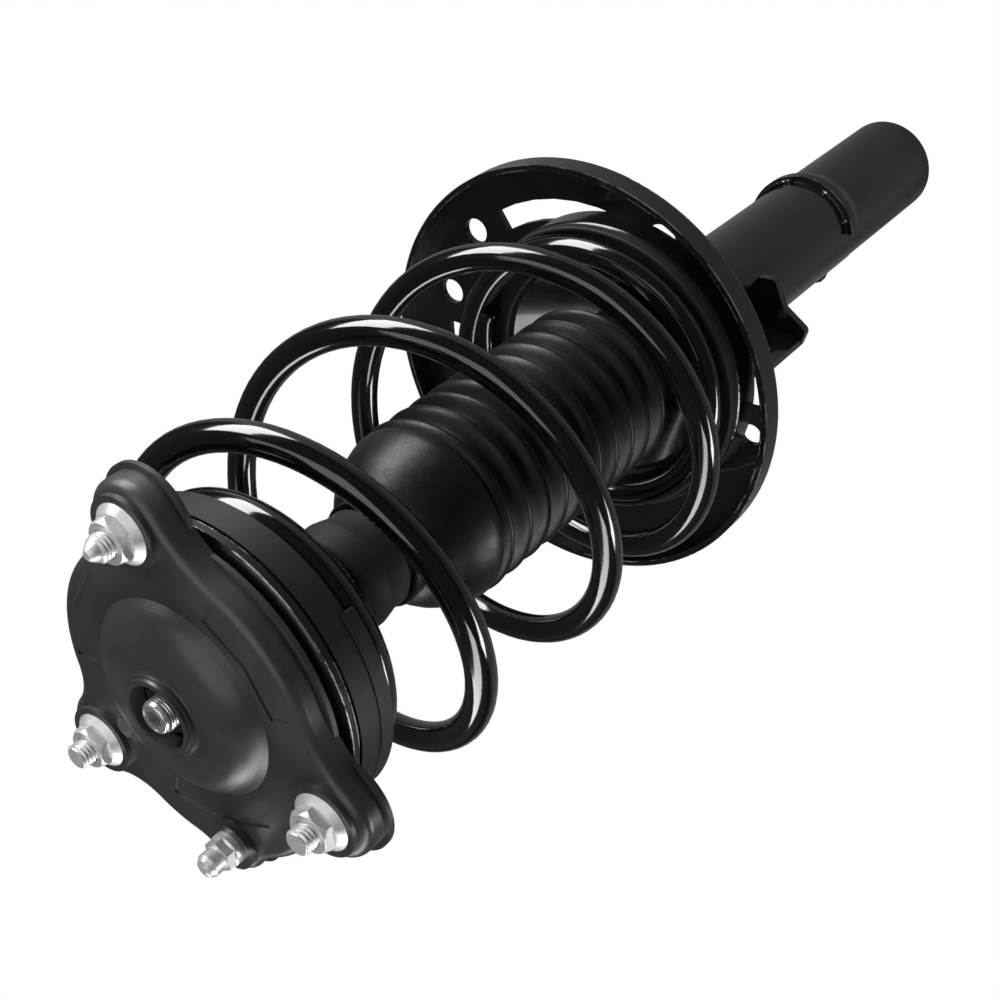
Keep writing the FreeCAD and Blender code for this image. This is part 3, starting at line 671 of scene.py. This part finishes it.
class Coating(Enum):
    """Every finish on the strut's pieces."""

    TUBE = PaintedSteel("tube_gloss_paint", (0.006, 0.006, 0.0065), 0.17, coat=0.5,
                        grain_scale=520.0, grain_depth=0.000012, dust=0.18)
    RING = PaintedSteel("ring_chipped_paint", (0.006, 0.006, 0.0065), 0.2, coat=0.4,
                        dust=0.25, wear_and_highlight=RING_EDGE)
    SEAT = PaintedSteel("seat_gloss_paint", (0.006, 0.006, 0.0065), 0.2, coat=0.45,
                        grain_scale=420.0, grain_depth=0.00002, dust=0.22, wear_and_highlight=SEAT_RIM)
    # Its rim lines are a painted highlight drawn as bare metal.
    SHELL = PaintedSteel("shell_gloss_paint", (0.006, 0.006, 0.0065), 0.2, coat=0.5,
                         dust=0.25, wear_and_highlight=SHELL_RIM_HIGHLIGHT)
    PLATE = PaintedSteel("plate_satin_paint", (0.055, 0.055, 0.056), 0.33,
                         grain_scale=900.0, grain_depth=0.00002, dust=0.12)
    COIL = PaintedSteel("coil_powder_coat", (0.0045, 0.0045, 0.005), 0.11, coat=0.7,
                        grain_scale=330.0, grain_depth=0.00002, dust=0.1)
    BOOT = MouldedSurface("boot_rubber", (0.0045, 0.0045, 0.005), 0.38, 0.32,
                          grain_scale=1100.0, grain_depth=0.00003)
    PAD = MouldedSurface("pad_rubber", (0.012, 0.012, 0.012), 0.62, 0.3)
    FOAM = MouldedSurface("bump_stop_foam", (0.010, 0.010, 0.0105), 0.6, 0.35,
                          grain_scale=2200.0, grain_depth=0.00008)
    PLASTIC = MouldedSurface("moulded_plastic", (0.012, 0.012, 0.0125), 0.5, 0.4,
                             grain_scale=1600.0, grain_depth=0.00003)
    STEEL = BrightMetal("machined_steel", (0.50, 0.50, 0.51), 0.3)
    DARK = BrightMetal("phosphated_steel", (0.05, 0.05, 0.055), 0.45, tint=(0.1, 0.1, 0.1))
    BLUED = BrightMetal("blued_steel", (0.20, 0.23, 0.28), 0.34, tint=(0.34, 0.37, 0.4))
    ZINC = BrightMetal("zinc_plate", (0.80, 0.81, 0.82), 0.38, tint=(0.70, 0.71, 0.73),
                       metallic=0.6)
    CHROME = BrightMetal("hard_chrome", (0.70, 0.70, 0.72), 0.24, mark_scale=1500.0,
                         tint=(0.6, 0.6, 0.62), metallic=0.8)


class Palette:
    """The built materials, each made from its finish once."""

    def __init__(self) -> None:
        """Build every material."""
        groups = EffectGroups()
        self.made = {coating: coating.value.build(groups) for coating in Coating}

    def __getitem__(self, coating: Coating) -> bpy.types.Material:
        """Give the material of a finish."""
        return self.made[coating]


def settle(piece: bpy.types.Object, body: Body, slot: str, *nodes: str) -> bpy.types.Object:
    """Make a piece ride on its body and hide the nodes it stands for.

    Args:
        piece: The finished piece.
        body: The body it moves with.
        slot: Not used.
        nodes: CAD nodes that the piece replaces.

    Returns:
        The piece.
    """
    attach(piece, body.value)
    if nodes:
        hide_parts(*nodes)
    LOG.info("%s: %d faces on %s", piece.name, len(piece.data.polygons), body.value)
    return piece


# ---------------------------------------------------------------- soft and turned pieces

@dataclass
class CoilSpring:
    """The coil spring: a closed foot coil, widening body coils and a smaller head coil."""

    wire: float = 5.9 * MM
    coil_radius: float = 76.6 * MM
    foot_radius: float = 60 * MM
    head_radius: float = 51.3 * MM
    foot_level: float = 275 * MM
    head_level: float = 505 * MM
    foot_angle: float = -50.0
    foot_turns: float = 0.75
    foot_blend: float = 0.69
    head_turn: float = 3.58
    head_blend: float = 0.9
    turns: float = 5.0
    offset: float = 19 * MM
    growth: float = 6.4 / 76.6
    travel: float = 115 * MM
    stations: int = 400

    def blends(self, turn: float) -> tuple[float, float]:
        """Say how far a turn has left the foot coil and joined the head coil."""
        return (smooth_step((turn - self.foot_turns) / self.foot_blend),
                smooth_step((turn - self.head_turn) / self.head_blend))

    def centre_line(self) -> list[Vector]:
        """Work out the wire's centre line.

        Returns:
            Points in metres from foot to head.
        """
        middle = (self.foot_turns + self.head_turn) / 2
        marks = [self.turns * index / self.stations for index in range(self.stations + 1)]
        rates = []
        for turn in marks:
            low, high = self.blends(turn)
            rates.append(low * (1 - high) * (1 + self.growth * (turn - middle)))
        climb = [0.0]
        for before, after in zip(rates, rates[1:]):
            climb.append(climb[-1] + (before + after) / 2)
        rise = (self.head_level - self.foot_level) / climb[-1]
        path = []
        for turn, height in zip(marks, climb):
            low, high = self.blends(turn)
            radius = (self.foot_radius + (self.coil_radius - self.foot_radius) * low
                      - (self.coil_radius - self.head_radius) * high)
            point = polar(radius, self.foot_angle + 360 * turn, self.foot_level + rise * height)
            point.x += self.offset * (1 - high)
            path.append(point)
        return path

    def build(self, palette: Palette) -> None:
        """Make the spring.

        Args:
            palette: The materials.
        """
        mesh = sweep(self.centre_line(), self.wire, 28)
        rims = [edge for edge in mesh.edges if any(len(f.verts) > 4 for f in edge.link_faces)]
        bmesh.ops.bevel(mesh, geom=rims, offset=0.6 * MM, segments=2, profile=0.5,
                        affect="EDGES", material=-1)
        piece = finish_piece(mesh, "coil_spring_wire", palette[Coating.COIL], 50)
        settle(piece, Body.DAMPER, "spring_paint", "coil_spring")
        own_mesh(piece)


@dataclass
class BellowsBoot:
    """The dust boot: a domed cup over ten rounded folds, closed on the bump stop and tube."""

    top: float = 448 * MM
    foot: float = 290 * MM
    ridge: float = 38 * MM
    valley: float = 31.2 * MM
    cup: float = 418 * MM
    folds: int = 10
    wall: float = 1.5 * MM
    neck: float = 21.7 * MM
    travel: float = 115 * MM

    def outline(self) -> list[tuple[float, float]]:
        """Draw the outer side of the section.

        Returns:
            Points in metres from the neck down to the foot.
        """
        points = [(self.neck, self.top), (self.neck + 0.5 * MM, self.top - 0.8 * MM),
                  (self.neck + 0.5 * MM, self.top - 3 * MM),
                  (self.neck + 0.1 * MM, self.top - 3.6 * MM),
                  (self.neck + 0.1 * MM, self.top - 6.6 * MM)]
        flare = [(24.2, 440.4), (26.6, 437.8), (29.4, 435.0), (32.0, 431.6), (34.2, 427.6),
                 (35.8, 423.6), (36.9, 420.2), (37.4, 417.6), (37.2, 416.2), (36.6, 415.2)]
        points += [(across * MM, level * MM) for across, level in flare]
        pitch = (self.cup - self.foot - 8 * MM) / self.folds
        first = self.cup - pitch * 0.12
        for fold in range(self.folds):
            for step in range(14):
                turn = step / 14
                swell = (0.5 - 0.5 * math.cos(TAU * turn)) ** 0.9
                radius = self.valley + (self.ridge - self.valley) * swell
                if fold == 0 and turn < 0.5:
                    radius = max(radius, self.valley + 2.6 * MM)
                points.append((radius, first - pitch * (fold + turn)))
        last = self.foot + 8 * MM
        points += [(self.valley + 0.2 * MM, last - 1.2 * MM), (31 * MM, last - 2.6 * MM),
                   (30.6 * MM, last - 4 * MM), (30.6 * MM, self.foot)]
        return points

    def build(self, palette: Palette) -> None:
        """Make the boot with its wall.

        Args:
            palette: The materials.
        """
        outer = self.outline()
        inner = [(across - self.wall, level) for across, level in outer]
        inner[-1] = (28.7 * MM, self.foot)
        inner[-2] = (28.7 * MM, outer[-2][1])
        mesh = lathe(outer + inner[::-1], 112)
        piece = finish_piece(mesh, "bellows_boot", palette[Coating.BOOT], 50)
        settle(piece, Body.DAMPER, "boot_rubber", "dust_boot")
        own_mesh(piece)


@dataclass
class BumpStop:
    """The foam bump stop under its knurled steel cup."""

    bore: float = 11 * MM
    full: float = 22 * MM
    top: float = 476 * MM
    teeth: int = 56

    def foam(self, palette: Palette) -> None:
        """Make the waisted foam block.

        Args:
            palette: The materials.
        """
        outline = [(self.bore, 424 * MM), (14.2 * MM, 424 * MM)]
        for centre, level, size in ((13.2, 429.5, 4.6), (12.8, 438.2, 4.2), (13.4, 446, 4.6)):
            outline += arc((centre * MM, level * MM), size * MM, -62, 62, 8)
        outline += [(19.6 * MM, 449.6 * MM), (20.4 * MM, 450.4 * MM), (20.4 * MM, 456 * MM),
                    (21.2 * MM, 459 * MM)]
        outline += arc((self.full - 2 * MM, 463 * MM), 2 * MM, -20, 10, 3)
        outline += arc((self.full - 2.2 * MM, self.top - 3.6 * MM), 2.2 * MM, 10, 80, 5)
        outline += [(18.5 * MM, self.top), (self.bore, self.top)]
        piece = finish_piece(lathe(outline, 96), "bump_stop_foam", palette[Coating.FOAM])
        settle(piece, Body.TOP_MOUNT, "bump_foam", "bump_stop")

    def cup(self, palette: Palette) -> None:
        """Make the steel cup with a knurled edge.

        Args:
            palette: The materials.
        """
        mesh = lathe([(self.bore, self.top + 0.1 * MM), (20.6 * MM, self.top + 0.1 * MM),
                      (21.2 * MM, self.top + 0.6 * MM), (22.4 * MM, self.top + 0.6 * MM),
                      (22.9 * MM, self.top + 1.4 * MM), (22.9 * MM, self.top + 5.6 * MM),
                      (22.0 * MM, self.top + 6.6 * MM), (18.0 * MM, self.top + 7 * MM),
                      (self.bore, self.top + 7 * MM)], self.teeth * 6)
        for vert in mesh.verts:
            radius = math.hypot(vert.co.x, vert.co.y)
            if radius > 22.2 * MM:
                angle = math.atan2(vert.co.y, vert.co.x)
                shrink = 1 - 0.6 * MM * (0.5 + 0.5 * math.sin(angle * self.teeth)) / radius
                vert.co.x *= shrink
                vert.co.y *= shrink
        piece = finish_piece(mesh, "knurled_stop_cup", palette[Coating.BLUED], 28)
        settle(piece, Body.TOP_MOUNT, "blued_steel", "bump_stop_cup")

    def build(self, palette: Palette) -> None:
        """Make the foam and the cup."""
        self.foam(palette)
        self.cup(palette)


@dataclass
class RubberRings:
    """The rubber pads, the mount's rubber and the rod seal, with rounded edges."""

    coil_offset: float = 19 * MM

    def ring(self, name: str, outline: list[tuple[float, float]], body: Body, node: str,
             palette: Palette, offset: float = 0.0) -> None:
        """Turn one rubber ring.

        Args:
            name: Name of the piece.
            outline: Its section in millimetres.
            body: The body it rides on.
            node: The CAD node it stands for.
            palette: The materials.
            offset: Distance of its axis along +X.
        """
        mesh = lathe([(across * MM, level * MM) for across, level in outline], 128,
                     centre=Vector((offset, 0, 0)))
        settle(finish_piece(mesh, name, palette[Coating.PAD]), body, "black_rubber", node)

    def build(self, palette: Palette) -> None:
        """Make the four rings.

        Args:
            palette: The materials.
        """
        self.ring("lower_pad_moulding", [
            (51.5, 266.0), (68.5, 266.0), (68.5, 269.9), (68.0, 270.5), (67.0, 270.5),
            (66.5, 269.9), (66.3, 269.2), (64.8, 268.8), (63.0, 268.2), (60.0, 268.0),
            (56.5, 268.2), (54.4, 268.9), (52.4, 269.0), (51.6, 268.4)],
            Body.DAMPER, "lower_spring_pad", palette, self.coil_offset)
        self.ring("upper_pad_moulding", [
            (44.0, 511.4), (44.6, 511.0), (50.0, 511.3), (57.6, 511.0), (58.4, 511.6),
            (58.4, 513.9), (44.0, 513.9)], Body.UPPER_SEAT, "upper_spring_pad", palette)
        self.ring("mount_rubber_moulding", [
            (14.1, 522.2), (29.6, 522.0), (33.4, 527.0), (33.9, 529.0), (33.9, 534.8),
            (33.2, 536.6), (31.4, 539.6), (30.0, 541.6), (27.6, 542.4), (24.0, 542.0),
            (21.0, 540.4), (14.1, 540.4)], Body.TOP_MOUNT, "mount_rubber", palette)
        self.ring("rod_seal_moulding", [
            (11.1, 292.2), (22.9, 292.2), (22.9, 296.6), (22.3, 297.0), (14.6, 297.0),
            (12.6, 296.0), (11.1, 294.6)], Body.DAMPER, "rod_seal", palette)


# ---------------------------------------------------------------- welds and fasteners

@dataclass
class TubeWelds:
    """Weld beads where the seat, the ring and the bracket meet the tube."""

    tube: float = 25.8 * MM
    bead: float = 1.5 * MM
    throat: float = 226 * MM
    bracket: float = 140.0
    upright_foot: float = 204 * MM
    upright_length: float = 20 * MM
    stations: int = 30

    def bead_round(self, name: str, level: float, start: float, end: float, radius: float,
                   palette: Palette) -> None:
        """Lay one rippled bead round the tube.

        Args:
            name: Name of the piece.
            level: Height of the bead.
            start: Angle in degrees where it starts.
            end: Angle in degrees where it ends.
            radius: Radius at which its centre runs.
            palette: The materials.
        """
        count = max(12, int((end - start) / 1.5))
        path = [polar(radius, start + (end - start) * index / count, level)
                for index in range(count + 1)]
        mesh = sweep(path, self.bead, 10, taper=4)
        for vert in mesh.verts:
            angle = math.degrees(math.atan2(vert.co.y, vert.co.x))
            lift = 1 + 0.006 * math.sin(math.radians(angle) * 44)
            vert.co.x *= lift
            vert.co.y *= lift
        piece = finish_piece(mesh, name, palette[Coating.TUBE], 60)
        settle(piece, Body.DAMPER, "gloss_black_steel")

    def bracket_bead(self, side: float, name: str, palette: Palette) -> None:
        """Lay an upright bead along one side of the link bracket's foot.

        Args:
            side: Which side of the bracket's web, as 1 or -1.
            name: Name of the piece.
            palette: The materials.
        """
        turn = Matrix.Rotation(math.radians(self.bracket), 4, "Z")
        path = []
        for index in range(self.stations + 1):
            sway = 0.15 * MM * math.sin(index * 1.9)
            level = self.upright_foot + self.upright_length * index / self.stations
            path.append(turn @ Vector((self.tube + sway, side * 2.4 * MM + sway, level)))
        mesh = sweep(path, self.bead, 10, taper=3, across=Vector((1, 0, 0)))
        settle(finish_piece(mesh, name, palette[Coating.TUBE], 60), Body.DAMPER,
               "gloss_black_steel")

    def build(self, palette: Palette) -> None:
        """Lay every bead.

        Args:
            palette: The materials.
        """
        self.bead_round("throat_weld", self.throat - 0.4 * MM, 178, 482,
                        self.tube + 0.9 * MM, palette)
        self.bead_round("ring_weld_a", 104.4 * MM, 168, 214, self.tube + 0.6 * MM, palette)
        self.bead_round("ring_weld_b", 104.4 * MM, 250, 300, self.tube + 0.6 * MM, palette)
        self.bead_round("ring_weld_c", 104.4 * MM, 350, 400, self.tube + 0.6 * MM, palette)
        self.bracket_bead(1.0, "bracket_weld_a", palette)
        self.bracket_bead(-1.0, "bracket_weld_b", palette)


@dataclass
class MountFasteners:
    """Threads of the studs and of the rod end."""

    circle: float = 63 * MM
    first: float = 8.5
    stud: float = 4.95 * MM
    pitch: float = 1.5 * MM
    under: float = 540.5 * MM

    def studs(self, palette: Palette) -> None:
        """Make the three studs, the third with a pointed lead.

        Args:
            palette: The materials.
        """
        for number in range(3):
            centre = polar(self.circle, self.first + 120 * number)
            pointed = number == 2
            top = 556.2 * MM if pointed else 557 * MM
            mesh = screw_bar(self.stud, self.pitch, 0.75 * MM, self.under, top, centre,
                             0.9 * MM)
            head = [(0, self.under - 3 * MM), (7.0 * MM, self.under - 3 * MM),
                    (7.5 * MM, self.under - 2.5 * MM), (7.5 * MM, self.under),
                    (0, self.under)]
            parts = [lathe(head, 40, centre=centre)]
            if pointed:
                tip = [(0, top - 0.2 * MM), (4.0 * MM, top - 0.2 * MM), (3.9 * MM, top + 0.3 * MM),
                       (2.2 * MM, top + 2.6 * MM), (1.4 * MM, top + 3.2 * MM),
                       (0, top + 3.3 * MM)]
                parts.append(lathe(tip, 40, centre=centre))
            for part in parts:
                spare = bpy.data.meshes.new("spare")
                part.to_mesh(spare)
                part.free()
                mesh.from_mesh(spare)
                bpy.data.meshes.remove(spare)
            piece = finish_piece(mesh, f"stud_{number + 1}", palette[Coating.ZINC], 30)
            nodes = ("mount_studs",) if number == 0 else ()
            settle(piece, Body.TOP_MOUNT, "zinc_plate", *nodes)

    def rod_thread(self, palette: Palette) -> None:
        """Cut the thread that shows on the rod end above its nut.

        Args:
            palette: The materials.
        """
        outline = [(5.4 * MM, 550.6 * MM), (6.3 * MM, 550.6 * MM)]
        level = 550.6
        while level < 554.6:
            outline += [(5.85 * MM, (level + 0.3) * MM), (6.3 * MM, (level + 0.65) * MM),
                        (6.3 * MM, (level + 0.8) * MM)]
            level += 1.0
        outline += [(5.5 * MM, 555.9 * MM), (5.2 * MM, 556.1 * MM), (4.6 * MM, 556.1 * MM),
                    (4.6 * MM, 550.6 * MM)]
        piece = finish_piece(lathe(outline, 72), "rod_end_thread", palette[Coating.CHROME], 30)
        settle(piece, Body.TOP_MOUNT, "chromed_rod")

    def build(self, palette: Palette) -> None:
        """Make every thread."""
        self.studs(palette)
        self.rod_thread(palette)


# ---------------------------------------------------------------- dressing and studio

NODE_COATINGS: dict[Coating, tuple[str, ...]] = {
    Coating.TUBE: ("damper_tube", "tube_end_cap", "link_bracket", "tube_cap"),
    Coating.RING: ("locating_ring",),
    Coating.SEAT: ("lower_spring_seat",),
    Coating.SHELL: ("mount_lower_shell",),
    Coating.PLATE: ("mount_plate",),
    Coating.COIL: ("coil_spring",),
    Coating.BOOT: ("dust_boot",),
    Coating.PAD: ("lower_spring_pad", "upper_spring_pad", "mount_rubber", "rod_seal"),
    Coating.FOAM: ("bump_stop",),
    Coating.PLASTIC: ("upper_spring_seat", "rebound_stop", "piston_band"),
    Coating.STEEL: ("pressure_cylinder", "base_valve", "rod_guide", "bearing_lower_race",
                    "bearing_balls", "bearing_upper_race", "mount_inner_sleeve",
                    "mount_washer", "piston", "piston_nut"),
    Coating.DARK: ("rod_nut",),
    Coating.BLUED: ("bump_stop_cup",),
    Coating.ZINC: ("mount_studs", "flange_nuts", "locating_pin"),
    Coating.CHROME: ("piston_rod",),
}


def dress_nodes(nodes: dict[str, bpy.types.Object], palette: Palette) -> None:
    """Give every CAD node its finish.

    Args:
        nodes: The CAD nodes by name.
        palette: The materials.
    """
    dressed = set()
    for coating, names in NODE_COATINGS.items():
        for name in names:
            piece = nodes[name]
            if not piece.material_slots:
                piece.data.materials.append(palette[coating])
            for material_slot in piece.material_slots:
                material_slot.material = palette[coating]
            dressed.add(name)
    for name in sorted(set(nodes) - dressed):
        LOG.warning("node %s has no finish", name)


@dataclass(frozen=True)
class SoftBox:
    """A rectangular studio light placed from the camera's own sides.

    right, up and towards are metres from the aim point along the camera's axes.
    """

    name: str
    right: float
    up: float
    towards: float
    width: float
    height: float
    power: float


@dataclass
class Studio:
    """The camera, the floor, the world and the soft boxes."""

    eye: Vector = Vector((-0.4432, -0.1077, 0.7845))
    aim: Vector = Vector((0.0, 0.0, 0.30))
    right: Vector = Vector((-0.6655, 0.4591, -0.5885))
    down: Vector = Vector((0.1876, 0.8660, 0.4634))
    lens: float = 55.3
    boxes: tuple[SoftBox, ...] = (
        SoftBox("key_box", -0.75, 0.95, 0.35, 0.55, 1.3, 25.0),
        SoftBox("top_strip", 0.35, 1.15, -0.25, 1.5, 0.3, 16.0),
        SoftBox("right_strip", 1.15, -0.35, 0.15, 0.28, 1.4, 15.0),
        SoftBox("front_fill", -0.9, -0.5, 1.3, 1.4, 1.4, 8.0),
        SoftBox("low_strip", -0.1, -1.2, 0.1, 1.5, 0.3, 8.0),
    )

    def axes(self) -> tuple[Vector, Vector, Vector]:
        """Work out the camera's axes.

        Returns:
            Its right, up and backward directions, at right angles.
        """
        right = self.right.normalized()
        back = right.cross(-self.down).normalized()
        return right, back.cross(right).normalized(), back

    def camera(self) -> None:
        """Set up the camera."""
        right, up, back = self.axes()
        data = bpy.data.cameras.new("view_camera")
        data.lens = self.lens
        data.sensor_width = 36.0
        data.clip_start, data.clip_end = 0.01, 50.0
        camera = bpy.data.objects.new("view_camera", data)
        turn = Matrix((right, up, back)).transposed().to_4x4()
        camera.matrix_world = Matrix.Translation(self.eye) @ turn
        bpy.context.scene.collection.objects.link(camera)
        bpy.context.scene.camera = camera

    def lights(self) -> None:
        """Hang every soft box and turn it to the aim point."""
        right, up, back = self.axes()
        for box in self.boxes:
            data = bpy.data.lights.new(box.name, "AREA")
            data.shape = "RECTANGLE"
            data.size, data.size_y = box.width, box.height
            data.energy = box.power
            lamp = bpy.data.objects.new(box.name, data)
            place = self.aim + right * box.right + up * box.up + back * box.towards
            facing = (place - self.aim).normalized()
            across = up.cross(facing).normalized()
            turn = Matrix((across, facing.cross(across), facing)).transposed().to_4x4()
            lamp.matrix_world = Matrix.Translation(place) @ turn
            bpy.context.scene.collection.objects.link(lamp)

    def floor(self) -> None:
        """Lay the plain pale floor, white to the eye and dim in reflections."""
        mesh = bmesh.new()
        bmesh.ops.create_circle(mesh, cap_ends=True, segments=64, radius=12.0)
        bmesh.ops.translate(mesh, verts=mesh.verts, vec=(0, 0, -0.002))
        material = bpy.data.materials.new("pale_floor")
        material.use_nodes = True
        graph = Graph(material.node_tree)
        material.node_tree.nodes.remove(material.node_tree.nodes["Principled BSDF"])
        out = material.node_tree.nodes["Material Output"]
        white = graph.add("ShaderNodeEmission")
        white.inputs["Strength"].default_value = 1.0
        matt = graph.add("ShaderNodeBsdfDiffuse")
        matt.inputs["Color"].default_value = (0.22, 0.22, 0.22, 1.0)
        mix = graph.add("ShaderNodeMixShader")
        graph.put(mix.inputs[0], graph.add("ShaderNodeLightPath").outputs["Is Camera Ray"])
        graph.put(mix.inputs[1], matt.outputs[0])
        graph.put(mix.inputs[2], white.outputs[0])
        graph.put(out.inputs["Surface"], mix.outputs[0])
        finish_piece(mesh, "pale_floor_disc", material)

    def world(self) -> None:
        """Set the plain surroundings, white to the eye and dim in reflections."""
        world = bpy.data.worlds.new("plain_room")
        world.use_nodes = True
        bpy.context.scene.world = world
        graph = Graph(world.node_tree)
        backdrop = world.node_tree.nodes["Background"]
        seen = graph.add("ShaderNodeLightPath").outputs["Is Camera Ray"]
        graph.put(backdrop.inputs["Strength"], graph.span(seen, 0.0, 1.0, 0.06, 1.0))
        backdrop.inputs["Color"].default_value = (1.0, 1.0, 1.0, 1.0)
        bpy.context.scene.view_settings.view_transform = "Standard"

    def build(self) -> None:
        """Set up the whole studio."""
        self.camera()
        self.lights()
        self.floor()
        self.world()


def main() -> None:
    """Build the strut's visual model and its studio."""
    logging.basicConfig(level=logging.INFO, format="%(message)s")
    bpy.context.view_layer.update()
    Studio().build()
    palette = Palette()
    dress_nodes(frame["nodes"], palette)
    for assembly in (CoilSpring(), BellowsBoot(), BumpStop(), RubberRings(), TubeWelds(),
                     MountFasteners()):
        LOG.info("building %s", type(assembly).__name__)
        assembly.build(palette)


if __name__ == "__main__":
    main()
